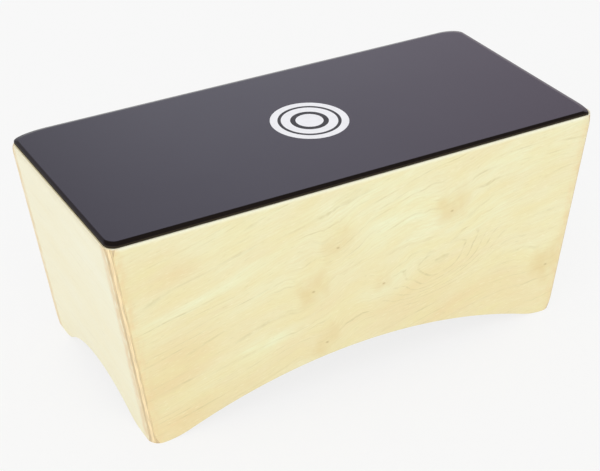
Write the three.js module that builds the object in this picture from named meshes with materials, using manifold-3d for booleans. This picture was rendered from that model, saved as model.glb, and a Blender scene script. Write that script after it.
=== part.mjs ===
// Bongo cajon: a small box drum of birch plywood, played with two hands on its black top.
// Its front and back stand upright, its two ends lean in towards the floor, and its bottom is open.
// Millimetres, +Z up, +X to the player's right. The origin is on the floor, under the middle of the box.

import * as THREE from 'three';
import { mergeVertices } from 'three/addons/utils/BufferGeometryUtils.js';
import Module from 'manifold-3d';

const wasm = await Module();
wasm.setup();

// Driving dimensions: the box
const BOX_LENGTH = 400;       // outside, at the top of the walls
const BASE_LENGTH = 354;      // outside, at the floor
const BOX_DEPTH = 183;        // outside, front to back
const WALL_HEIGHT = 169;      // floor to the underside of the playing surface
const WALL = 9;               // plywood of the four walls
const LIP = 3.5;              // what an end wall's rebate leaves to cover the end of a front or back wall
const CORNER_RADIUS = 6;      // rounding of the four upright corners
const BASE_CORNER = 9;        // the same at the floor, so that no toe splinters
const TOP_FRONT_CORNER = 9;   // the same at the top of the walls, where they follow the plate
const TOP_BACK_CORNER = 17;
const CORNER_SANDING = 10;    // height over which they grow rounder, above the floor and below the top

// Driving dimensions: the arches that leave four corner feet
const FRONT_FOOT = 20;        // along the front, from the corner to where the arch springs
const FRONT_ARCH_RISE = 30;
const FRONT_FOOT_ROUND = 60;  // rounding between foot and arch
const END_FOOT = 30.5;
const END_ARCH_RISE = 23;
const END_FOOT_ROUND = 30;

// Driving dimensions: the playing surface
const PLATE = 3;              // its thickness
const PLATE_INSET = 1.2;      // how far its edge stays back from the walls' outside
const PLATE_SIDE = 1.8;       // upright part of its edge, below the bevel
const PLATE_BEVEL_RUN = 4;    // how far in the bevel round its top starts

// Driving dimensions: the inside
const DIVIDER = 6;            // panel between the low and the high chamber
const DIVIDER_OFFSET = 22;    // off centre, so that the two chambers differ
const DIVIDER_LIFT = 40;      // its lower edge above the floor
const HOUSING = 3;            // depth of its grooves in the front and back walls
const BATTEN_WIDTH = 12;      // glue battens under the playing surface
const BATTEN_HEIGHT = 12;
const BLOCK = 16;             // legs of the glue blocks in the corners
const BLOCK_NOSE = 3;         // blunt edge at the tip of each leg
const BLOCK_LIFT = 18;        // their lower ends above the floor

// Clearances
const GLUE_GAP = 0.3;         // at a leaning joint, and round the divider in its grooves
const STOCK = 2;              // extra on cuts and on raw panels, trimmed flush
const CLOSE = 1e-4;           // points nearer than this are one point

// Steps of the curves
const ARCH_STEPS = 14;
const CORNER_STEPS = 8;
const SANDING_STEPS = 4;

// Worked out from the driving dimensions
const leanPerHeight = (BOX_LENGTH - BASE_LENGTH) / 2 / WALL_HEIGHT;
const levelCut = Math.hypot(1, leanPerHeight);         // level width of 1 mm of leaning panel
const endWallRun = WALL * levelCut;
const lipRun = LIP * levelCut;
const insideDepth = BOX_DEPTH / 2 - WALL;              // from the middle to the front wall's inner face
const blockStart = endWallRun + GLUE_GAP;              // from the box's end to what is glued inside it
const battenUnderside = WALL_HEIGHT - BATTEN_HEIGHT;

const birchPlywood = new THREE.MeshStandardMaterial({ color: 0xefe6bc, roughness: 0.5, metalness: 0 });
const blackLacquer = new THREE.MeshStandardMaterial({ color: 0x17151b, roughness: 0.3, metalness: 0 });
const dividerPlywood = new THREE.MeshStandardMaterial({ color: 0xe6d4a0, roughness: 0.6, metalness: 0 });
const spruce = new THREE.MeshStandardMaterial({ color: 0xdcc08c, roughness: 0.7, metalness: 0 });

// A closed geometry as a solid that can be cut and joined
function solid(geometry) {
  geometry.deleteAttribute('normal');
  geometry.deleteAttribute('uv');
  const merged = mergeVertices(geometry, CLOSE);
  return new wasm.Manifold(new wasm.Mesh({
    numProp: 3,
    vertProperties: new Float32Array(merged.attributes.position.array),
    triVerts: new Uint32Array(merged.index.array),
  }));
}

// A named piece of the drum from its solid
function piece(name, body, material) {
  const { vertProperties, triVerts } = body.getMesh();
  const geometry = new THREE.BufferGeometry();
  geometry.setAttribute('position', new THREE.BufferAttribute(vertProperties, 3));
  geometry.setIndex(new THREE.BufferAttribute(triVerts, 1));
  geometry.computeVertexNormals();
  const mesh = new THREE.Mesh(geometry, material);
  mesh.name = name;
  return mesh;
}

function polygon(corners) {
  return new THREE.Shape(corners.map(([x, y]) => new THREE.Vector2(x, y)));
}

function rectangle(x0, x1, y0, y1) {
  return polygon([[x0, y0], [x1, y0], [x1, y1], [x0, y1]]);
}

// A level rectangle with rounded corners at a height
function roundedOutline(halfLength, halfDepth, frontRadius, backRadius, z) {
  const outline = new THREE.Shape();
  const corner = (x, y, radius, quarter) => outline.absarc(
    x * (halfLength - radius), y * (halfDepth - radius), radius,
    quarter * (Math.PI / 2), (quarter + 1) * (Math.PI / 2), false);
  corner(1, 1, backRadius, 0);
  corner(-1, 1, backRadius, 1);
  corner(-1, -1, frontRadius, 2);
  corner(1, -1, frontRadius, 3);
  outline.closePath();
  return { points: outline.extractPoints(CORNER_STEPS).shape, z };
}

// A plan with straight sides raised between two heights
function upright(plan, low, high) {
  const options = { depth: high - low, bevelEnabled: false };
  return new THREE.ExtrudeGeometry(plan, options).translate(0, 0, low);
}

// Plans are drawn at the top of the walls: below that, each point moves in as far as the box's ends lean in
function lean(geometry) {
  const points = geometry.attributes.position;
  for (let i = 0; i < points.count; i += 1) {
    const x = points.getX(i);
    points.setX(i, x - Math.sign(x) * leanPerHeight * (WALL_HEIGHT - points.getZ(i)));
  }
  return geometry;
}

// The hollow under an arch, from foot to foot, as a bar along Y that is longer than the wall is thick.
// The arch is one arc, and a smaller arc rounds it into the level sole of each foot.
function archHollow(span, rise, round, length) {
  const half = span / 2;
  const radius = (half ** 2 + rise ** 2) / (2 * rise);
  const soleStart = Math.sqrt(half ** 2 + 2 * round * rise);
  const turn = Math.atan2(soleStart, radius + round - rise);
  const down = -Math.PI / 2;
  const outline = new THREE.Shape();
  outline.moveTo(-soleStart, -STOCK);
  outline.lineTo(-soleStart, 0);
  outline.absarc(-soleStart, round, round, down, down + turn, false);
  outline.absarc(0, rise - radius, radius, Math.PI / 2 + turn, Math.PI / 2 - turn, true);
  outline.absarc(soleStart, round, round, down - turn, down, false);
  outline.lineTo(soleStart, -STOCK);
  outline.closePath();
  const options = { depth: length, bevelEnabled: false, curveSegments: ARCH_STEPS };
  const bar = new THREE.ExtrudeGeometry(outline, options);
  return bar.translate(0, 0, -length / 2).rotateX(Math.PI / 2);
}

// A closed skin over level outlines with equally many points, from the lowest to the highest
function loft(outlines) {
  const count = outlines[0].points.length;
  const positions = outlines.flatMap(({ points, z }) => points.flatMap((p) => [p.x, p.y, z]));
  const faces = [];
  for (let ring = 0; ring + 1 < outlines.length; ring += 1) {
    for (let i = 0; i < count; i += 1) {
      const a = ring * count + i;
      const b = ring * count + ((i + 1) % count);
      faces.push(a, b, a + count, b, b + count, a + count);
    }
  }
  const lid = THREE.ShapeUtils.triangulateShape(outlines[0].points, []);
  const topStart = (outlines.length - 1) * count;
  for (const [a, b, c] of lid) {
    faces.push(c, b, a, topStart + a, topStart + b, topStart + c);
  }
  const geometry = new THREE.BufferGeometry();
  geometry.setAttribute('position', new THREE.Float32BufferAttribute(positions, 3));
  geometry.setIndex(faces);
  return geometry;
}

// The whole box's outside, which every wall is sanded flush to
function makeBoxOutside() {
  const outlineAt = (share, frontRadius, backRadius, z) => roundedOutline(
    BOX_LENGTH / 2, BOX_DEPTH / 2,
    CORNER_RADIUS + (frontRadius - CORNER_RADIUS) * share ** 2,
    CORNER_RADIUS + (backRadius - CORNER_RADIUS) * share ** 2, z);
  const lower = [];
  const upper = [];
  for (let step = 0; step <= SANDING_STEPS; step += 1) {
    const share = step / SANDING_STEPS;
    const fromEnd = CORNER_SANDING * (1 - share);
    lower.unshift(outlineAt(share, BASE_CORNER, BASE_CORNER, fromEnd));
    upper.push(outlineAt(share, TOP_FRONT_CORNER, TOP_BACK_CORNER, WALL_HEIGHT - fromEnd));
  }
  return solid(lean(loft([...lower, ...upper])));
}

const boxOutside = makeBoxOutside();

// The plate that is played on: a level top with a shallow bevel round it, and a low upright side
function makePlayingSurface() {
  const outlineAt = (inset, z) => roundedOutline(
    BOX_LENGTH / 2 - inset, BOX_DEPTH / 2 - inset,
    TOP_FRONT_CORNER - PLATE_INSET, TOP_BACK_CORNER - PLATE_INSET, WALL_HEIGHT + z);
  return solid(loft([
    outlineAt(PLATE_INSET, 0),
    outlineAt(PLATE_INSET, PLATE_SIDE),
    outlineAt(PLATE_INSET + PLATE_BEVEL_RUN, PLATE),
  ]));
}

// The front wall stands between the lips of the end walls, with a groove for the divider.
// facing is -1 for the front and 1 for the back.
function makeLongWall(facing) {
  const halfLength = BOX_LENGTH / 2 - lipRun - GLUE_GAP;
  const outside = facing * (BOX_DEPTH / 2 + STOCK);
  const panel = upright(
    rectangle(-halfLength, halfLength, outside, facing * insideDepth), -STOCK, WALL_HEIGHT + STOCK);
  const grooveHalf = DIVIDER / 2 + GLUE_GAP;
  const groove = upright(
    rectangle(DIVIDER_OFFSET - grooveHalf, DIVIDER_OFFSET + grooveHalf,
      facing * (insideDepth - STOCK), facing * (insideDepth + HOUSING + GLUE_GAP)),
    DIVIDER_LIFT, WALL_HEIGHT + STOCK);
  const arch = archHollow(
    BASE_LENGTH - 2 * FRONT_FOOT, FRONT_ARCH_RISE, FRONT_FOOT_ROUND, BOX_DEPTH + 2 * STOCK);
  return boxOutside.intersect(solid(lean(panel))).subtract(solid(arch)).subtract(solid(groove));
}

// An end wall leans, runs the full depth of the box, and is rebated inside along both upright edges,
// so that only its lip shows at the front. side is -1 for the left and 1 for the right.
function makeEndWall(side) {
  const x = (fromEnd) => side * (BOX_LENGTH / 2 - fromEnd);
  const y = BOX_DEPTH / 2 + STOCK;
  const plan = polygon([
    [x(-STOCK), -y], [x(lipRun), -y], [x(lipRun), -insideDepth], [x(endWallRun), -insideDepth],
    [x(endWallRun), insideDepth], [x(lipRun), insideDepth], [x(lipRun), y], [x(-STOCK), y],
  ]);
  const panel = upright(plan, -STOCK, WALL_HEIGHT + STOCK);
  const arch = archHollow(
    BOX_DEPTH - 2 * END_FOOT, END_ARCH_RISE, END_FOOT_ROUND, BOX_LENGTH + 2 * STOCK);
  return boxOutside.intersect(solid(lean(panel))).subtract(solid(arch.rotateZ(Math.PI / 2)));
}

// The divider slides down into its two grooves and stops at their lower ends
function makeDivider() {
  const reach = insideDepth + HOUSING;
  const plan = rectangle(DIVIDER_OFFSET - DIVIDER / 2, DIVIDER_OFFSET + DIVIDER / 2, -reach, reach);
  return solid(upright(plan, DIVIDER_LIFT, WALL_HEIGHT));
}

// A glue block stands in each corner, under the battens, with its inner face planed off at a slant
function makeCornerBlock(side, facing) {
  const at = (along, across) => [
    side * (BOX_LENGTH / 2 - blockStart - along), facing * (insideDepth - across)];
  const plan = polygon([
    at(0, 0), at(BLOCK, 0), at(BLOCK, BLOCK_NOSE), at(BLOCK_NOSE, BLOCK), at(0, BLOCK),
  ]);
  return solid(lean(upright(plan, BLOCK_LIFT, battenUnderside)));
}

// End battens run from front to back, planed to the lean of the end walls
function makeEndBatten(side) {
  const outer = side * (BOX_LENGTH / 2 - blockStart);
  const inner = outer - side * BATTEN_WIDTH;
  const plan = rectangle(outer, inner, -insideDepth, insideDepth);
  return solid(lean(upright(plan, battenUnderside, WALL_HEIGHT)));
}

// Long battens are cut square, to fit between the foot of the end batten and the divider
function makeLongBatten(side, facing) {
  const endBattenReach = blockStart + BATTEN_WIDTH + leanPerHeight * BATTEN_HEIGHT;
  const outer = side * (BOX_LENGTH / 2 - endBattenReach - GLUE_GAP);
  const inner = DIVIDER_OFFSET + side * (DIVIDER / 2 + GLUE_GAP);
  const plan = rectangle(outer, inner, facing * insideDepth, facing * (insideDepth - BATTEN_WIDTH));
  return solid(upright(plan, battenUnderside, WALL_HEIGHT));
}

const bongoCajon = new THREE.Group();
bongoCajon.add(piece('playing_surface', makePlayingSurface(), blackLacquer));
bongoCajon.add(piece('chamber_divider', makeDivider(), dividerPlywood));
for (const [end, side] of [['left', -1], ['right', 1]]) {
  bongoCajon.add(piece(`${end}_end_wall`, makeEndWall(side), birchPlywood));
  bongoCajon.add(piece(`${end}_end_batten`, makeEndBatten(side), spruce));
}
for (const [face, facing] of [['front', -1], ['back', 1]]) {
  bongoCajon.add(piece(`${face}_wall`, makeLongWall(facing), birchPlywood));
  for (const [end, side] of [['left', -1], ['right', 1]]) {
    bongoCajon.add(piece(`${face}_${end}_batten`, makeLongBatten(side, facing), spruce));
    bongoCajon.add(piece(`${face}_${end}_corner_block`, makeCornerBlock(side, facing), spruce));
  }
}

export default bongoCajon;
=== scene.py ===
# A bongo cajon: a small box drum of pale birch plywood under a black lacquered playing surface.
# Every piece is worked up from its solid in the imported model, in metres, with +Z up.

import math

import bpy
from mathutils import Matrix, Vector
from mathutils.bvhtree import BVHTree


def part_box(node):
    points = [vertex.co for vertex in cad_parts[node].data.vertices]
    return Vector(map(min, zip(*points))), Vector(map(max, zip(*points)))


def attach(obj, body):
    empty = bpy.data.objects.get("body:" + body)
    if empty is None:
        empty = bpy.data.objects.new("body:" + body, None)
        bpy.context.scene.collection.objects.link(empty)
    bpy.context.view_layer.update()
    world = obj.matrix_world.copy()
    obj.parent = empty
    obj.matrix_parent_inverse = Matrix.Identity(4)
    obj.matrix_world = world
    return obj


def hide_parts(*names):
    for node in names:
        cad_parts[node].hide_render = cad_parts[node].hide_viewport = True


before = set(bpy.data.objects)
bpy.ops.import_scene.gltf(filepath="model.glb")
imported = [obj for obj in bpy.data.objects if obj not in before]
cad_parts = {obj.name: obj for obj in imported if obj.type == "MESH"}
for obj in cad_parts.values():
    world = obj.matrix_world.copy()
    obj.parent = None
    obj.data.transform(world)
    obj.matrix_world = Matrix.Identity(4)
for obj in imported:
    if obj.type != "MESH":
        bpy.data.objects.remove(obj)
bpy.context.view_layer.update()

MM = 0.001

# Limits that tell points, edges and faces apart
ON_FLOOR = 0.1 * MM
TINY = 0.01 * MM
SAME_POINT = 0.001 * MM
FLAT_TURN = math.radians(0.5)
SHARP_TURN = math.radians(15)
SMOOTH_TURN = math.radians(40)
LEVEL = 0.99999

# Sizes read from the solids
plate_low, plate_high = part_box("playing_surface")
front_low, front_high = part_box("front_wall")
end_low, end_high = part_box("left_end_wall")
divider_low, divider_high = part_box("chamber_divider")
BOX_HALF_DEPTH = -front_low.y
BOARD = front_high.y - front_low.y
DIVIDER_BOARD = divider_high.x - divider_low.x
end_wall_points = [vertex.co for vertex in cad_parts["left_end_wall"].data.vertices]
FOOT_X = min(point.x for point in end_wall_points if point.z < ON_FLOOR)
END_LEAN = math.atan2(FOOT_X - end_low.x, end_high.z)

# Sizes of what is added here
EASE_STEPS = 3
WALL_EASE = 1.1 * MM
STRIP_EASE = 0.5 * MM
RIM_EASE = 0.25 * MM
PLATE_EASE = 0.8 * MM
JOINT_EASE = 0.1 * MM
JOINT_REACH = 0.5 * MM
JOINT_CLOSING = 0.27 * MM
FRONT_BEVEL_CUTS = (0.5 * MM, 1.95 * MM)
LEFT_BEVEL_CUT = 2.2 * MM
PLATE_LEFT_REACH = 0.2 * MM
PLATE_SWEEPS = ((-1, 1, 30.0 * MM, 10.0 * MM), (1, 1, 18.0 * MM, 10.0 * MM),
                (1, -1, 5.0 * MM, 18.0 * MM))
PLATE_FINISH_LIMITS = (0.99, 0.3, -0.99)
DISC_FILM = 0.15 * MM
DISC_GLUE = 0.05 * MM
DISC_CENTRE = Vector((3.8 * MM, 1.0 * MM, plate_high.z - DISC_FILM))
DISC_RADIUS = 29.7 * MM
DISC_SIDES = 128
DISC_RINGS = ((24.0 * MM, 21.5 * MM), (14.5 * MM, 10.5 * MM))

# The camera, found from the drum's edges in the photograph
IMAGE_WIDTH = 600
FOCAL_PIXELS = 1482.7
CAMERA_AZIMUTH = math.radians(-29.709)
CAMERA_ELEVATION = math.radians(31.316)
CAMERA_DISTANCE = 1155.8 * MM
CAMERA_TARGET = Vector((0.0, 0.0, 72.0 * MM))
CAMERA_SIDESTEP = 4.293 * MM
CAMERA_RISE = -0.916 * MM


# Nodes and colours

def linear(code):
    """Turns an sRGB hex colour into linear red, green, blue and alpha."""
    shares = [int(code[start:start + 2], 16) / 255 for start in (1, 3, 5)]
    return tuple(s / 12.92 if s <= 0.04045 else ((s + 0.055) / 1.055) ** 2.4 for s in shares) + (1.0,)


def add(tree, kind, *values, named=None, stops=None, **settings):
    """Adds a node with its settings; its inputs take values or links, in order or by name."""
    node = tree.nodes.new("ShaderNode" + kind)
    for setting, value in settings.items():
        setattr(node, setting, value)
    sockets = [socket for socket in node.inputs if socket.enabled]
    pairs = list(zip(sockets, values))
    pairs += [(next(s for s in sockets if s.name == name), value) for name, value in (named or {}).items()]
    for socket, value in pairs:
        if isinstance(value, bpy.types.NodeSocket):
            tree.links.new(value, socket)
        else:
            socket.default_value = value
    if stops:
        node.color_ramp.interpolation = "CONSTANT"
        for place, colour in stops[2:]:
            node.color_ramp.elements.new(place)
        for element, (place, colour) in zip(node.color_ramp.elements, stops):
            element.position = place
            element.color = linear(colour)
    return next((socket for socket in node.outputs if socket.enabled), None)


def start_material(name):
    """A new material with an empty node tree."""
    material = bpy.data.materials.new(name)
    material.use_nodes = True
    material.node_tree.nodes.clear()
    return material, material.node_tree


def board_place(tree, along, outward, face_point):
    """Millimetres on a board: X along the face grain, Y across it, Z out of the face through the point."""
    across = outward.cross(along)
    turn = Matrix((along, across, outward))
    offset = -(turn @ face_point) / MM
    place = add(tree, "TexCoord").node.outputs["Object"]
    return add(tree, "Mapping", place, offset, turn.to_euler(), (1 / MM, 1 / MM, 1 / MM))


def streaks(tree, grain, length, width, seed, detail=2.0):
    """Soft streaks of a length along the grain and a width across it, in mm, as values from 0 to 1."""
    stretched = add(tree, "Mapping", named={"Vector": grain, "Scale": (1 / length, 1 / width, 1 / width)})
    return add(tree, "TexNoise", stretched, seed, 1.0, detail, noise_dimensions="4D")


def spot(tree, place, centre, length, width, edge, middle):
    """A soft oval spot on a board, in mm, as a value that runs from its edge to its middle."""
    offset = add(tree, "VectorMath", place, (*centre, 0.0), operation="SUBTRACT")
    scaled = add(tree, "VectorMath", offset, (1 / length, 1 / width, 0.0), operation="MULTIPLY")
    distance = add(tree, "VectorMath", scaled, operation="LENGTH").node.outputs["Value"]
    return add(tree, "MapRange", distance, 1.0, 0.0, edge, middle, interpolation_type="SMOOTHSTEP")


# Materials

# Marks of the birch's grain, in millimetres along the grain and across it
GRAIN_BEND = (150.0, 60.0)
LINE_WAVE = (260.0, 34.0)
LINE_FADE = (60.0, 7.0)
LINE_DASH = (11.0, 4.0)
TAN_CLOUD = (110.0, 34.0)
MIST = (42.0, 13.0)
FIBRE = (22.0, 1.3)
FLECK = (6.0, 1.0)
KNOT_HEART = (2.2, 1.4)

# Marks at the darker, warmer ends of the boards and on cut plies, in millimetres up the board and across it
DARKENING_PATCH = (8.0, 4.0)
CUT_FIBRE = (9.0, 1.0)

# More of the birch, in millimetres: how far its grain bends, how its growth lines lie, and its thin glue
GRAIN_BEND_HEIGHT = 16.0
KNOT_BEND_HEIGHT = 8.0
LINE_SPACING = 8.0
LINE_WAVE_TURNS = 6.0
GLUE_LINE = 0.12

# Each knot's torn edge, in millimetres and tears to a millimetre, and its wings and the bend round it as
# shares of the knot's width: a wing's place aside and above and its strength, then lengths and widths
KNOT_TEAR = (24.0, 28.0, 0.0)
KNOT_TEARS_PER_MM = 0.07
KNOT_WINGS = ((-0.25, 0.0, 1.0), (0.35, 0.35, 0.8))
KNOT_WING_SHARES = (0.85, 1.15)
KNOT_BEND_SHARES = (2.4, 3.0)


def on_grain(place_u, place_v, rise):
    """Where a place on a board lies once its grain has risen."""
    start, stop, most = rise
    share = min(max((place_u - start) / (stop - start), 0.0), 1.0)
    return place_u, place_v + most * (1.0 - share * share * (3.0 - 2.0 * share))


def pin_knots(tree, panel, knots, seed):
    """Pin knots, each a small brown heart between two ragged tan wings. Gives the strength of the wings and
    of the hearts, and how far the grain swells round them."""
    ragged = add(tree, "TexNoise", panel, seed, KNOT_TEARS_PER_MM, 2.0, noise_dimensions="4D")
    ragged = ragged.node.outputs["Color"]
    ragged = add(tree, "VectorMath", ragged, (0.5, 0.5, 0.5), operation="SUBTRACT")
    torn = add(tree, "VectorMath", ragged, KNOT_TEAR, panel, operation="MULTIPLY_ADD")
    plume = 0.0
    heart = 0.0
    swell = 0.0
    for knot_u, knot_v, width, strength in knots:
        wing_length, wing_width = (share * width for share in KNOT_WING_SHARES)
        bend_length, bend_width = (share * width for share in KNOT_BEND_SHARES)
        for aside, above, share in KNOT_WINGS:
            centre = (knot_u + aside * width, knot_v + above * width)
            wing = spot(tree, torn, centre, wing_length, wing_width, 0.0, share * strength)
            plume = add(tree, "Math", wing, plume, operation="MAXIMUM")
        around = spot(tree, torn, (knot_u, knot_v), bend_length, bend_width, 0.0, 1.0)
        dark = spot(tree, panel, (knot_u, knot_v), *KNOT_HEART, 0.0, 1.0)
        swell = add(tree, "Math", around, swell, operation="MAXIMUM")
        heart = add(tree, "Math", dark, heart, operation="MAXIMUM")
    return plume, heart, swell


def growth_lines(tree, grain, bent, figures, rise, seed):
    """Thin growth lines that run with the grain, wave slowly, fade in and out, and break into short dashes;
    in a figure they close into ovals. Gives their strength."""
    field = streaks(tree, grain, *LINE_WAVE, seed + 3.0, 1.5)
    rings = add(tree, "Math", bent, 1 / LINE_SPACING, operation="MULTIPLY")
    turns = add(tree, "Math", field, LINE_WAVE_TURNS, rings, operation="MULTIPLY_ADD")
    fading = add(tree, "MapRange", streaks(tree, grain, *LINE_FADE, seed + 20.0), 0.46, 0.66, 0.0, 0.6)
    for figure_u, figure_v, length, width, lines in figures:
        oval = spot(tree, grain, on_grain(figure_u, figure_v, rise), length, width, 0.0, 1.0)
        turns = add(tree, "Math", oval, lines, turns, operation="MULTIPLY_ADD")
        clear = add(tree, "MapRange", oval, 0.0, 0.4, 0.0, 0.5)
        fading = add(tree, "Math", clear, fading, operation="MAXIMUM")
    wave = add(tree, "Math", add(tree, "Math", turns, math.tau, operation="MULTIPLY"), operation="SINE")
    line = add(tree, "MapRange", wave, 0.7, 1.0, 0.0, 1.0, interpolation_type="SMOOTHSTEP")
    broken = add(tree, "MapRange", streaks(tree, grain, *LINE_DASH, seed + 26.0), 0.42, 0.62, 0.2, 1.0)
    line = add(tree, "Math", line, fading, operation="MULTIPLY")
    return add(tree, "Math", line, broken, operation="MULTIPLY")


def darker_towards_ends(tree, u, v, cut_end, corner, seed):
    """How far the veneer turns darker and warmer towards a board's ends, in patches up the board."""
    slant, start, stop, most = corner
    ends = add(tree, "Math", u, operation="ABSOLUTE")
    reach = add(tree, "Math", v, -slant, ends, operation="MULTIPLY_ADD")
    worn = add(tree, "MapRange", reach, start, stop, 0.0, most, interpolation_type="SMOOTHSTEP")
    patches = streaks(tree, cut_end, *DARKENING_PATCH, seed + 17.0)
    patchy = add(tree, "MapRange", patches, 0.35, 0.65, 0.3, 1.7)
    return add(tree, "Math", worn, patchy, operation="MULTIPLY")


def cut_plies(tree, w, cut_end, board, tones, seed):
    """The plies that show on a board's edges, from its middle outwards, each with its outer edge, its tone
    and a glue line there. Gives their colour, and whether a point lies in the face veneer outside them."""
    half = board / MM / 2
    stops = []
    inner = 0.0
    for outer, tone in tones["plies"]:
        stops.append((inner, tone))
        stops.append((outer - GLUE_LINE / half, tones["glue"]))
        inner = outer
    middle = add(tree, "Math", w, half, operation="ADD")
    layer = add(tree, "Math", add(tree, "Math", middle, operation="ABSOLUTE"), half, operation="DIVIDE")
    ply = add(tree, "ValToRGB", layer, stops=stops)

    # Cut fibres break the stripes up the board, drawn coarser than they are so that they show
    cut_fibre = streaks(tree, cut_end, *CUT_FIBRE, seed + 14.0, 3.0)
    shade = add(tree, "MapRange", cut_fibre, 0.35, 0.65, 0.84, 1.1)
    ply = add(tree, "Mix", 1.0, ply, shade, data_type="RGBA", blend_type="MULTIPLY")
    return ply, add(tree, "Math", layer, inner, operation="GREATER_THAN")


def birch_plywood(name, along, outward, face_point, board, tones, knots=(), clouds=(), figures=(),
                  rise=(-150.0, 150.0, 14.0), corner=None, seed=0.0):
    """Birch plywood under clear satin lacquer: pale rotary-cut face veneers with soft clouds of tan, a few
    thin olive growth lines and pin knots, and edges where light long plies and darker cross plies show.
    In millimetres on the board, knots have a place, a width and a strength; clouds lie along the grain and
    have a place, a length, a width and a warmth; figures are ovals of growth lines, with a place, a length,
    a width and a number of lines. rise says where along the board the grain bends, and how far; corner says
    where the veneer turns darker and warmer towards the ends, with its slant, its start, its end and how
    far it goes."""
    material, tree = start_material(name)
    panel = board_place(tree, along, outward, face_point)
    u, v, w = add(tree, "SeparateXYZ", panel).node.outputs
    height = add(tree, "SeparateXYZ", add(tree, "TexCoord").node.outputs["Object"]).node.outputs["Z"]
    cut_end = add(tree, "CombineXYZ", v, u, w)
    plume, heart, swell = pin_knots(tree, panel, knots, seed)

    # The grain rises along part of the board, wanders a little everywhere, and bends at the knots
    climb = add(tree, "MapRange", u, rise[0], rise[1], rise[2], 0.0, interpolation_type="SMOOTHSTEP")
    wander = add(tree, "Math", streaks(tree, panel, *GRAIN_BEND, seed), 0.5, operation="SUBTRACT")
    shift = add(tree, "Math", wander, GRAIN_BEND_HEIGHT, climb, operation="MULTIPLY_ADD")
    shift = add(tree, "Math", swell, KNOT_BEND_HEIGHT, shift, operation="MULTIPLY_ADD")
    bent = add(tree, "Math", v, shift, operation="ADD")
    grain = add(tree, "CombineXYZ", u, bent, w)
    line = growth_lines(tree, grain, bent, figures, rise, seed)

    # Clouds of tan, warmer towards the floor, then fibre, tiny bright flecks and short dark dashes
    patch = streaks(tree, grain, *TAN_CLOUD, seed + 8.0, 4.0)
    mottle = add(tree, "MapRange", patch, 0.2, 0.8, -0.5, 0.5)
    foot = add(tree, "MapRange", height, tones["pale_height"], 0.0, 0.3, 0.62)
    warmth = add(tree, "Math", foot, mottle, operation="ADD")
    for cloud_u, cloud_v, length, width, warmer in clouds:
        haze = spot(tree, grain, on_grain(cloud_u, cloud_v, rise), length, width, 0.0, warmer)
        warmth = add(tree, "Math", warmth, haze, operation="ADD")
    warmth = add(tree, "Math", warmth, 0.0, operation="ADD", use_clamp=True)
    mist = streaks(tree, grain, *MIST, seed + 12.0, 3.0)
    mist_share = add(tree, "MapRange", mist, 0.42, 0.7, 0.0, 0.7)
    fibre = streaks(tree, grain, *FIBRE, seed + 5.0, 3.0)
    fibre_share = add(tree, "MapRange", fibre, 0.36, 0.7, 0.0, 0.4)
    fleck = streaks(tree, grain, *FLECK, seed + 11.0, 1.0)
    fleck_share = add(tree, "MapRange", fleck, 0.6, 0.76, 0.0, 0.5)
    dash_share = add(tree, "MapRange", fleck, 0.38, 0.26, 0.0, 0.25)

    # Painted highlight: light catching the top rim of the face, and a thin ledge of the plies under the
    # plate, is painted paler
    # On the end walls the rim tone is tanner, so there it paints a tanner band under the plate
    brim = front_high.z
    painted_rim_band = add(tree, "MapRange", height, brim - tones["rim_height"], brim, 0.0, 0.9)
    painted_ledge_highlight = add(tree, "MapRange", height, brim - 2 * RIM_EASE, brim - RIM_EASE, 0.0, 0.8)

    colour = add(tree, "Mix", warmth, linear(tones["pale"]), linear(tones["warm"]), data_type="RGBA")
    for share, tone in ((mist_share, "mist"), (fibre_share, "streak"), (line, "line"),
                        (fleck_share, "fleck"), (dash_share, "line"), (plume, "plume"),
                        (heart, "heart"), (painted_rim_band, "rim")):
        colour = add(tree, "Mix", share, colour, linear(tones[tone]), data_type="RGBA")
    # Darker and warmer towards the board's ends, in patches
    if corner:
        worn = darker_towards_ends(tree, u, v, cut_end, corner, seed)
        colour = add(tree, "Mix", worn, colour, linear(tones["worn"]), data_type="RGBA")
    ply, on_face = cut_plies(tree, w, cut_end, board, tones, seed)
    ply = add(tree, "Mix", painted_ledge_highlight, ply, linear(tones["rim"]), data_type="RGBA")
    colour = add(tree, "Mix", on_face, ply, colour, data_type="RGBA")

    relief = add(tree, "Math", fibre, fleck_share, operation="SUBTRACT")
    normal = add(tree, "Bump", named={"Strength": 0.25, "Distance": 0.05 * MM, "Height": relief})
    gloss = add(tree, "MapRange", fibre, 0.3, 0.7, 0.36, 0.46)
    surface = add(tree, "BsdfPrincipled", colour, named={"Roughness": gloss, "IOR": 1.5, "Normal": normal})
    add(tree, "OutputMaterial", surface)
    return material


# The lacquer's orange peel and haze, and the film's rubbed places
PEEL_WIDTH = 2.2 * MM
HAZE_WIDTH = 70.0 * MM
RUB_WIDTH = 9.0 * MM


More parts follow.
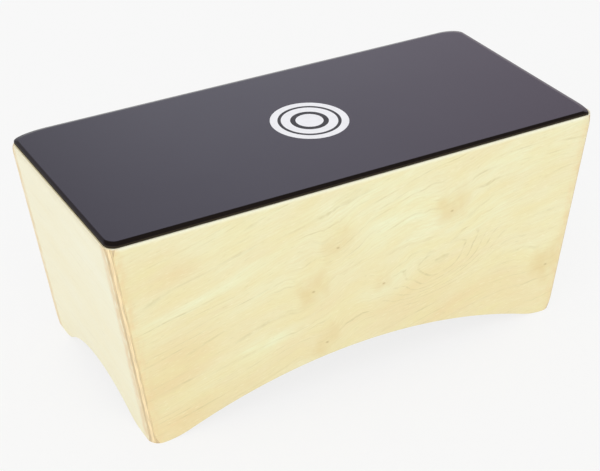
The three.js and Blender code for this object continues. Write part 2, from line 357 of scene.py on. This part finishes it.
def black_lacquer(name, tone, hazy, shine, smooth, rough):
    """Sprayed satin black lacquer, rubbed smooth: a near black with a faint orange peel, so that it mirrors
    the bright room as an even soft grey; its violet specular tint is a painted tint of that reflection.
    Browner copies that mirror less are painted shade and painted reflection on the plate's edges."""
    material, tree = start_material(name)
    place = add(tree, "TexCoord").node.outputs["Object"]
    peel = add(tree, "TexNoise", place, named={"Scale": 1 / PEEL_WIDTH, "Detail": 2.0})
    haze = add(tree, "TexNoise", place, named={"Scale": 1 / HAZE_WIDTH, "Detail": 3.0})
    gloss = add(tree, "MapRange", haze, 0.3, 0.7, smooth, rough)
    colour = add(tree, "Mix", haze, linear(tone), linear(hazy), data_type="RGBA")
    normal = add(tree, "Bump", named={"Strength": 0.06, "Distance": 0.02 * MM, "Height": peel})
    # The violet specular tint is a painted tint of the room's reflection
    finish = {"Roughness": gloss, "IOR": 1.52, "Specular IOR Level": shine,
              "Specular Tint": linear("#f1e7ff"), "Normal": normal}
    surface = add(tree, "BsdfPrincipled", colour, named=finish)
    add(tree, "OutputMaterial", surface)
    return material


# The spruce in millimetres: the place of its pith, its rings, and its marks along the grain and across it
PITH = (0.0, 37.0, 21.0)
RING_SPACING = 2.2
RING_SWAY = (160.0, 40.0)
RING_SWAY_HEIGHT = 7.0
SPRUCE_FIBRE = (30.0, 0.9)
LATE_WOOD_POWER = 3.0


def planed_spruce(name, along, outward, seed):
    """Planed spruce left bare: honey-coloured early wood that darkens across each ring to a thin late-wood
    line; the rings are arcs round a pith outside the strip, so the end grain shows them curved."""
    material, tree = start_material(name)
    panel = board_place(tree, along, outward, Vector((0.0, 0.0, 0.0)))
    sway = streaks(tree, panel, *RING_SWAY, seed, 1.0)
    section = add(tree, "Mapping", panel, PITH, named={"Scale": (0.0, 1.0, 1.0)})
    radius = add(tree, "VectorMath", section, operation="LENGTH").node.outputs["Value"]
    radius = add(tree, "Math", sway, RING_SWAY_HEIGHT, radius, operation="MULTIPLY_ADD")
    ring = add(tree, "Math", add(tree, "Math", radius, RING_SPACING, operation="DIVIDE"), operation="FRACT")
    late = add(tree, "Math", ring, LATE_WOOD_POWER, operation="POWER")
    fibre = streaks(tree, panel, *SPRUCE_FIBRE, seed + 4.0, 3.0)
    early = add(tree, "Mix", fibre, linear("#efd9ab"), linear("#e3c48d"), data_type="RGBA")
    colour = add(tree, "Mix", late, early, linear("#c79f62"), data_type="RGBA")
    normal = add(tree, "Bump", named={"Strength": 0.3, "Distance": 0.08 * MM, "Height": late})
    gloss = add(tree, "MapRange", fibre, 0.3, 0.7, 0.55, 0.68)
    surface = add(tree, "BsdfPrincipled", colour, named={"Roughness": gloss, "IOR": 1.5, "Normal": normal})
    add(tree, "OutputMaterial", surface)
    return material


def printed_film(name, tone, worn):
    """Thin vinyl film with a matt print: an even tone that hands have rubbed a little duller in places."""
    material, tree = start_material(name)
    place = add(tree, "TexCoord").node.outputs["Object"]
    rub = add(tree, "TexNoise", place, named={"Scale": 1 / RUB_WIDTH, "Detail": 4.0})
    share = add(tree, "MapRange", rub, 0.45, 0.75, 0.0, 0.6)
    colour = add(tree, "Mix", share, linear(tone), linear(worn), data_type="RGBA")
    gloss = add(tree, "MapRange", rub, 0.3, 0.7, 0.34, 0.46)
    surface = add(tree, "BsdfPrincipled", colour, named={"Roughness": gloss, "IOR": 1.48})
    add(tree, "OutputMaterial", surface)
    return material


# Pieces

def take_up(piece):
    """Makes a piece the only selected object, and the active one."""
    bpy.ops.object.select_all(action="DESELECT")
    piece.select_set(True)
    bpy.context.view_layer.objects.active = piece


def touches_neighbour(node, point):
    """Whether a point of one solid lies at a joint with another."""
    others = [tree for other, tree in neighbours.items() if other != node]
    return any(tree.find_nearest(point, JOINT_REACH)[0] for tree in others)


def sand_by_hand(plate):
    """Gives the plate what sanding by hand has left: three round corners with a longer oval sweep, each
    with its side and end of the plate and its lengths along X and Y, a front bevel that narrows to the
    right, a narrow left bevel, and a left edge that reaches a little further over the wall."""
    rings = {}
    for point in plate.data.vertices:
        rings.setdefault(round(point.co.z / MM, 2), []).append(point.co)
    for ring in rings.values():
        for side, end, length_x, length_y in PLATE_SWEEPS:
            reach_x = max(side * point.x for point in ring)
            reach_y = max(end * point.y for point in ring)
            radius = min(reach_x - side * point.x for point in ring if reach_y - end * point.y < TINY)
            for point in ring:
                inward_x = reach_x - side * point.x
                inward_y = reach_y - end * point.y
                if max(inward_x, inward_y) < radius + TINY:
                    point.x = side * (reach_x - inward_x * length_x / radius)
                    point.y = end * (reach_y - inward_y * length_y / radius)
    for point in rings[max(rings)]:
        if point.x < 0.0:
            point.x -= LEFT_BEVEL_CUT
        if point.y < 0.0:
            share = (point.x - plate_low.x) / (plate_high.x - plate_low.x)
            point.y -= FRONT_BEVEL_CUTS[0] + (FRONT_BEVEL_CUTS[1] - FRONT_BEVEL_CUTS[0]) * share
    for point in plate.data.vertices:
        if point.co.x < 0.0:
            point.co.x -= PLATE_LEFT_REACH


def cut_seat(plate):
    """Cuts a shallow round seat into the plate's top, so that the film lies flush in it."""
    bpy.ops.object.select_all(action="DESELECT")
    bpy.ops.mesh.primitive_cylinder_add(vertices=DISC_SIDES, radius=DISC_RADIUS + DISC_GLUE,
                                        depth=2 * (DISC_FILM + DISC_GLUE),
                                        location=(DISC_CENTRE.x, DISC_CENTRE.y, plate_high.z))
    cutter = bpy.context.object
    take_up(plate)
    seat = plate.modifiers.new("seat", "BOOLEAN")
    seat.operation = "DIFFERENCE"
    seat.object = cutter
    bpy.ops.object.modifier_apply(modifier=seat.name)
    bpy.data.objects.remove(cutter)


def weigh_edges(piece, node, ease, rim):
    """Says how far each edge is eased: a selected one fully, the rim of a level top by an ease of its own,
    and a selected one at a joint hardly at all."""
    points = piece.data.vertices
    top = max(point.co.z for point in points)
    easing = piece.data.attributes.new("bevel_weight_edge", "FLOAT", "EDGE")
    for edge in piece.data.edges:
        ends = [points[index].co for index in edge.vertices]
        on_rim = min(end.z for end in ends) > top - TINY
        if touches_neighbour(node, (ends[0] + ends[1]) / 2):
            easing.data[edge.index].value = JOINT_EASE / ease if edge.select else 0.0
        elif on_rim:
            easing.data[edge.index].value = rim / ease
        elif edge.select:
            easing.data[edge.index].value = 1.0


def eased_copy(node, name, ease, rim=RIM_EASE, reshape=None, cut=None):
    """A copy of a solid with merged points and whole faces. Its open edges are eased as sandpaper does, the
    rim of its level top stays crisp, and its edges at a joint stay nearly sharp. reshape works on the piece
    before its edges are eased, and cut after that. Level faces are shaded flat."""
    piece = bpy.data.objects.new(name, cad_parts[node].data.copy())
    bpy.context.scene.collection.objects.link(piece)
    take_up(piece)
    piece.data.materials.clear()
    bpy.ops.object.mode_set(mode="EDIT")
    bpy.ops.mesh.select_all(action="SELECT")
    bpy.ops.mesh.remove_doubles(threshold=SAME_POINT)
    bpy.ops.mesh.dissolve_limited(angle_limit=FLAT_TURN)
    if reshape:
        bpy.ops.object.mode_set(mode="OBJECT")
        reshape(piece)
        bpy.ops.object.mode_set(mode="EDIT")
    bpy.ops.mesh.select_mode(type="EDGE")
    bpy.ops.mesh.select_all(action="DESELECT")
    bpy.ops.mesh.edges_select_sharp(sharpness=SHARP_TURN)
    bpy.ops.object.mode_set(mode="OBJECT")
    weigh_edges(piece, node, ease, rim)
    bevel = piece.modifiers.new("eased edges", "BEVEL")
    bevel.width = ease
    bevel.segments = EASE_STEPS
    bevel.limit_method = "WEIGHT"
    bpy.ops.object.modifier_apply(modifier=bevel.name)
    if cut:
        cut(piece)
    bpy.ops.object.shade_smooth_by_angle(angle=SMOOTH_TURN)
    for face in piece.data.polygons:
        face.use_smooth = abs(face.normal.z) < LEVEL
    even = piece.modifiers.new("flat faces stay flat", "WEIGHTED_NORMAL")
    even.keep_sharp = True
    bpy.ops.object.modifier_apply(modifier=even.name)
    return piece


def close_joints(piece):
    """Brings a long wall's ends up to the end walls, as its glue does."""
    slant = math.tan(END_LEAN)
    furthest = max(abs(point.co.x) - slant * point.co.z for point in piece.data.vertices)
    for point in piece.data.vertices:
        if abs(point.co.x) - slant * point.co.z > furthest - 2 * JOINT_EASE:
            point.co.x += math.copysign(JOINT_CLOSING, point.co.x)


def fit(piece, node, slot, *materials):
    """Gives a piece its materials, and puts it in the place of its solid."""
    for material in materials:
        piece.data.materials.append(material)
    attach(piece, "root")
    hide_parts(node)


# Tones of the plywood on the long walls, the end walls and the divider; plies are listed from the middle
# out, with their outer edges as shares
# rim is a painted highlight along the long walls' top edge, and a tanner band under the plate on the end
# walls
FRONT_TONES = {"pale": "#f2f3cd", "warm": "#eed9a7", "mist": "#f0e6b0", "streak": "#e8d8a2",
               "line": "#cfc38c", "fleck": "#fdf6d6", "plume": "#e4cd92", "heart": "#cfbb86",
               "rim": "#faf9e2", "worn": "#ecd3a0", "glue": "#cbb082",
               "pale_height": 150.0 * MM, "rim_height": 3.0 * MM,
               "plies": ((0.15, "#f4ddb0"), (0.42, "#e5cf9f"), (0.7, "#f5dfb2"), (0.87, "#d9c39a"))}
# The end walls' paler, less yellow veneer is painted light, matched to the washed-out look of the brightly
# lit end face
END_TONES = dict(FRONT_TONES, pale="#f8f5da", warm="#f4eac0", mist="#f7f2d2", streak="#f3eccf",
                 line="#e6dfc0", fleck="#fcfaea", worn="#ecd7ab", plume="#efdfb2", rim="#ebe2bf",
                 rim_height=8.0 * MM,
                 plies=((0.15, "#f4ddb0"), (0.436, "#e5cf9f"), (0.789, "#f5dfb2"), (0.944, "#d9c39a")))
DIVIDER_TONES = dict(FRONT_TONES, pale="#eedeb2", warm="#e2c88f", mist="#e9d6a2", streak="#dfc690",
                     line="#c9ad74", fleck="#f2e4be", rim="#e8d6a4", pale_height=20.0 * MM,
                     plies=((0.3, "#f3dcaa"), (0.72, "#d8bf90")))
neighbours = {node: BVHTree.FromPolygons([point.co for point in solid.data.vertices],
                                         [face.vertices for face in solid.data.polygons])
              for node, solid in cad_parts.items()}

# Where the walls' veneer turns darker and warmer towards their ends, in millimetres from their edges, and
# how far on the long walls
DARKENING_END_WIDTH = 9.0
DARKENING_END_SHARE = 0.45
DARKENING_SIDE_START = 15.5
DARKENING_SIDE_STOP = 8.0

UP = Vector((0.0, 0.0, 1.0))
RIGHT = Vector((1.0, 0.0, 0.0))
BACK = Vector((0.0, 1.0, 0.0))


def make_walls():
    """The four walls; the grain runs level on all of them."""
    slant = math.tan(END_LEAN)
    front_points = [vertex.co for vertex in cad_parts["front_wall"].data.vertices]
    joint = max(point.x - slant * point.z for point in front_points) / MM
    front_knots = ((72, 121, 18, 0.5), (-26, 119, 14, 0.4), (-46, 88, 17, 0.6), (166, 45, 19, 0.65),
                   (14, 76, 11, 0.3), (-34, 40, 12, 0.4))
    back_knots = ((-110, 96, 15, 0.55), (34, 132, 13, 0.45), (121, 60, 17, 0.6))
    front_clouds = ((20, 128, 60, 22, -0.4), (98, 112, 45, 30, -0.2), (140, 45, 60, 35, 0.1),
                    (45, 65, 60, 25, 0.1), (-125, 114, 80, 9, -0.5), (-86, 56, 32, 13, -0.4),
                    (-165, 59, 55, 48, 0.35), (-128, 58, 45, 25, 0.15), (-158, 137, 45, 17, 0.4),
                    (-150, 12, 60, 28, 0.3))
    front_figures = ((66, 72, 64, 34, 5.0),)
    front_face = Vector((0.0, -BOX_HALF_DEPTH, 0.0))
    back_face = Vector((0.0, BOX_HALF_DEPTH, 0.0))
    long_wall_darkening = (slant, joint - DARKENING_END_WIDTH, joint, DARKENING_END_SHARE)
    front = birch_plywood("birch_plywood_front", RIGHT, -BACK, front_face, BOARD, FRONT_TONES,
                          front_knots, front_clouds, front_figures, (-330.0, 230.0, 100.0), long_wall_darkening, 1.0)
    back = birch_plywood("birch_plywood_back", -RIGHT, BACK, back_face, BOARD, FRONT_TONES,
                         back_knots, (), (), (-60.0, 190.0, -30.0), long_wall_darkening, 31.0)
    for side, wood in (("front", front), ("back", back)):
        panel = eased_copy(side + "_wall", side + "_panel", WALL_EASE)
        close_joints(panel)
        fit(panel, side + "_wall", "birch_plywood", wood)
    half_depth = BOX_HALF_DEPTH / MM
    end_wall_darkening = (0.0, half_depth - DARKENING_SIDE_START, half_depth - DARKENING_SIDE_STOP, 1.0)
    for side, sign, knots in (("left", -1, ()), ("right", 1, ((48, 60, 14, 0.4), (-20, 120, 12, 0.4)))):
        outward = Vector((sign * math.cos(END_LEAN), 0.0, -math.sin(END_LEAN)))
        foot = Vector((-sign * FOOT_X, 0.0, 0.0))
        wood = birch_plywood("birch_plywood_" + side, sign * BACK, outward, foot, BOARD, END_TONES,
                             knots, (), (), (-60.0, 90.0, 10.0 * sign), end_wall_darkening, 50.0 + 20.0 * sign)
        panel = eased_copy(side + "_end_wall", side + "_panel", WALL_EASE)
        fit(panel, side + "_end_wall", "birch_plywood", wood)


def make_playing_plate():
    """The playing surface: black on top; on its bevel a browner black that mirrors less, as painted shade;
    on its side a dull brown-black whose brown is a painted reflection of the wood; bare plywood underneath.
    Which finish a face has follows from how far it looks up."""
    plate = eased_copy("playing_surface", "playing_plate", PLATE_EASE, PLATE_EASE, sand_by_hand, cut_seat)
    thickness = plate_high.z - plate_low.z
    bare = birch_plywood("bare_birch_veneer", RIGHT, -UP, plate_low, thickness, DIVIDER_TONES, seed=90.0)
    top = black_lacquer("satin_black_lacquer", "#17131b", "#1c1821", 0.5, 0.17, 0.22)
    # Painted shade on the bevel: a browner copy that mirrors less. Painted reflection on the side: its
    # brown stands in for the olive reflection there
    bevel = black_lacquer("black_lacquer_painted_shade", "#1b1613", "#201a16", 0.23, 0.17, 0.22)
    side = black_lacquer("black_lacquer_painted_reflection", "#322c20", "#3a3327", 0.05, 0.5, 0.6)
    fit(plate, "playing_surface", "black_lacquer", top, bevel, side, bare)
    for face in plate.data.polygons:
        face.material_index = sum(face.normal.z < limit for limit in PLATE_FINISH_LIMITS)


def make_divider():
    """The thin board across the inside that parts the two chambers."""
    wood = birch_plywood("bare_divider_plywood", BACK, RIGHT, divider_high, DIVIDER_BOARD,
                         DIVIDER_TONES, seed=70.0)
    panel = eased_copy("chamber_divider", "divider_panel", WALL_EASE)
    fit(panel, "chamber_divider", "divider_plywood", wood)


def make_strips_and_blocks():
    """The glued strips under the plate and the blocks up the inner corners."""
    along_box = planed_spruce("planed_spruce_long_strips", RIGHT, UP, 4.0)
    across_box = planed_spruce("planed_spruce_end_strips", BACK, UP, 9.0)
    upright = planed_spruce("planed_spruce_corner_blocks", UP, -BACK, 15.0)
    for side in ("left", "right"):
        node = side + "_end_batten"
        fit(eased_copy(node, side + "_end_strip", STRIP_EASE), node, "spruce", across_box)
        for wall in ("front", "back"):
            node = wall + "_" + side + "_batten"
            fit(eased_copy(node, wall + "_" + side + "_strip", STRIP_EASE), node, "spruce", along_box)
            node = wall + "_" + side + "_corner_block"
            fit(eased_copy(node, wall + "_" + side + "_block", STRIP_EASE), node, "spruce", upright)


def make_centre_disc():
    """A thin round film, flush in its seat in the middle of the plate, with two plain rings."""
    bpy.ops.object.select_all(action="DESELECT")
    bpy.ops.mesh.primitive_circle_add(vertices=DISC_SIDES, radius=DISC_RADIUS, fill_type="NGON",
                                      location=DISC_CENTRE)
    disc = bpy.context.object
    disc.name = "centre_disc"
    bpy.ops.object.transform_apply(location=True, rotation=True, scale=True)
    bpy.ops.object.mode_set(mode="EDIT")
    bpy.ops.mesh.select_all(action="SELECT")
    radius = DISC_RADIUS
    for edge in [edge for ring in DISC_RINGS for edge in ring]:
        bpy.ops.mesh.inset(thickness=radius - edge)
        radius = edge
    bpy.ops.object.mode_set(mode="OBJECT")
    for face in disc.data.polygons:
        reach = (face.center - DISC_CENTRE).length
        face.material_index = int(any(inner < reach < outer for outer, inner in DISC_RINGS))
    film = disc.modifiers.new("film", "SOLIDIFY")
    film.thickness = DISC_FILM
    film.offset = 1.0
    bpy.ops.object.modifier_apply(modifier=film.name)
    bpy.ops.object.shade_smooth_by_angle(angle=SMOOTH_TURN)
    disc.data.materials.append(printed_film("white_printed_film", "#f5f5f9", "#ededf1"))
    disc.data.materials.append(printed_film("black_printed_film", "#19171c", "#242228"))
    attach(disc, "root")


# The studio

WHITE_LEVEL = 0.947
DAYLIGHT = 0.8
DARK_LEVEL = 0.04
LAMP_STRENGTH = 0.9
LAMP_SPREAD = math.radians(70)
LAMP_FROM = Vector((-0.55, -0.62, 0.56))
FLOOR_WIDTH = 60.0
FLOOR_GLOW = 0.86
SENSOR_WIDTH = 36.0

# Where mirrored directions turn dark, along Y and Z, and the backdrop's levels from side to side, along X
SCREEN_AHEAD = (-0.2, -0.42)
SCREEN_FOOT = (0.05, 0.25)
CEILING = (0.5, 0.8)
BACKDROP_LEFT = (0.38, 0.2, 1.18, 0.69)
BACKDROP_RIGHT = (0.48, 0.64, 1.0, 0.85)
BACKDROP_CAST = (0.42, 0.62)


def light_the_room():
    """Even pale light from all round, and one broad lamp from the front left. Gloss mirrors a pale backdrop
    that is brightest in its middle, under a dark ceiling, and a dark screen in front of the drum."""
    world = bpy.data.worlds.new("studio")
    world.use_nodes = True
    bpy.context.scene.world = world
    tree = world.node_tree
    tree.nodes.clear()
    rays = add(tree, "LightPath").node.outputs
    aim = add(tree, "SeparateXYZ", add(tree, "TexCoord").node.outputs["Generated"]).node.outputs
    ahead = add(tree, "MapRange", aim["Y"], *SCREEN_AHEAD, 0.0, 1.0, interpolation_type="SMOOTHSTEP")
    above = add(tree, "MapRange", aim["Z"], *SCREEN_FOOT, 0.0, 1.0, interpolation_type="SMOOTHSTEP")
    screen = add(tree, "Math", ahead, above, operation="MULTIPLY")
    ceiling = add(tree, "MapRange", aim["Z"], *CEILING, 0.0, 1.0, interpolation_type="SMOOTHSTEP")
    shade = add(tree, "Math", screen, ceiling, operation="MAXIMUM")
    left = add(tree, "MapRange", aim["X"], *BACKDROP_LEFT, interpolation_type="SMOOTHSTEP")
    right = add(tree, "MapRange", aim["X"], *BACKDROP_RIGHT, interpolation_type="SMOOTHSTEP")
    backdrop = add(tree, "Math", left, right, operation="MULTIPLY")
    mirrored = add(tree, "Mix", shade, backdrop, DARK_LEVEL)
    unseen = add(tree, "Mix", rays["Is Glossy Ray"], DAYLIGHT, mirrored)
    seen = add(tree, "Math", rays["Is Camera Ray"], rays["Is Transmission Ray"], operation="MAXIMUM")
    level = add(tree, "Mix", seen, unseen, WHITE_LEVEL)
    rightward = add(tree, "MapRange", aim["X"], *BACKDROP_CAST, 0.0, 1.0)
    cast = add(tree, "Mix", rightward, linear("#f3f4ff"), linear("#eee3f2"), data_type="RGBA")
    tint = add(tree, "Mix", rays["Is Glossy Ray"], linear("#ffffff"), cast, data_type="RGBA")
    add(tree, "OutputWorld", add(tree, "Background", tint, level))

    lamp = bpy.data.lights.new("broad_lamp", "SUN")
    lamp.energy = LAMP_STRENGTH
    lamp.angle = LAMP_SPREAD
    stand = bpy.data.objects.new("broad_lamp", lamp)
    stand.rotation_euler = LAMP_FROM.to_track_quat("Z", "Y").to_euler()
    bpy.context.scene.collection.objects.link(stand)


def lay_the_floor():
    """A wide pale floor that keeps a light shadow; it is clear from below, so that the open bottom
    shows."""
    bpy.ops.object.select_all(action="DESELECT")
    bpy.ops.mesh.primitive_plane_add(size=FLOOR_WIDTH)
    floor = bpy.context.object
    floor.name = "studio_floor"
    material, tree = start_material("pale_floor")
    rays = add(tree, "LightPath").node.outputs
    seen = add(tree, "Math", rays["Is Camera Ray"], rays["Is Glossy Ray"], operation="MAXIMUM")
    seen = add(tree, "Math", seen, rays["Is Transmission Ray"], operation="MAXIMUM")
    share = add(tree, "Math", seen, FLOOR_GLOW, operation="MULTIPLY")
    paint = add(tree, "BsdfDiffuse", (0.92, 0.92, 0.92, 1.0))
    glow = add(tree, "Emission", (1.0, 1.0, 1.0, 1.0), WHITE_LEVEL)
    top = add(tree, "MixShader", share, paint, glow)
    below = add(tree, "NewGeometry").node.outputs["Backfacing"]
    add(tree, "OutputMaterial", add(tree, "MixShader", below, top, add(tree, "BsdfTransparent")))
    floor.data.materials.append(material)


def set_the_camera():
    """Puts the camera at the photograph's view."""
    flat = math.cos(CAMERA_ELEVATION)
    towards = Vector((math.sin(CAMERA_AZIMUTH) * flat, -math.cos(CAMERA_AZIMUTH) * flat,
                      math.sin(CAMERA_ELEVATION)))
    right = UP.cross(towards).normalized()
    above = towards.cross(right)
    lens = bpy.data.cameras.new("camera")
    lens.sensor_fit = "HORIZONTAL"
    lens.sensor_width = SENSOR_WIDTH
    lens.lens = lens.sensor_width * FOCAL_PIXELS / IMAGE_WIDTH
    camera = bpy.data.objects.new("camera", lens)
    camera.location = CAMERA_TARGET + towards * CAMERA_DISTANCE
    camera.location -= right * CAMERA_SIDESTEP + above * CAMERA_RISE
    camera.rotation_euler = towards.to_track_quat("Z", "Y").to_euler()
    bpy.context.scene.collection.objects.link(camera)
    bpy.context.scene.camera = camera


make_walls()
make_playing_plate()
make_divider()
make_strips_and_blocks()
make_centre_disc()
light_the_room()
lay_the_floor()
set_the_camera()
bpy.context.scene.view_settings.view_transform = "Standard"
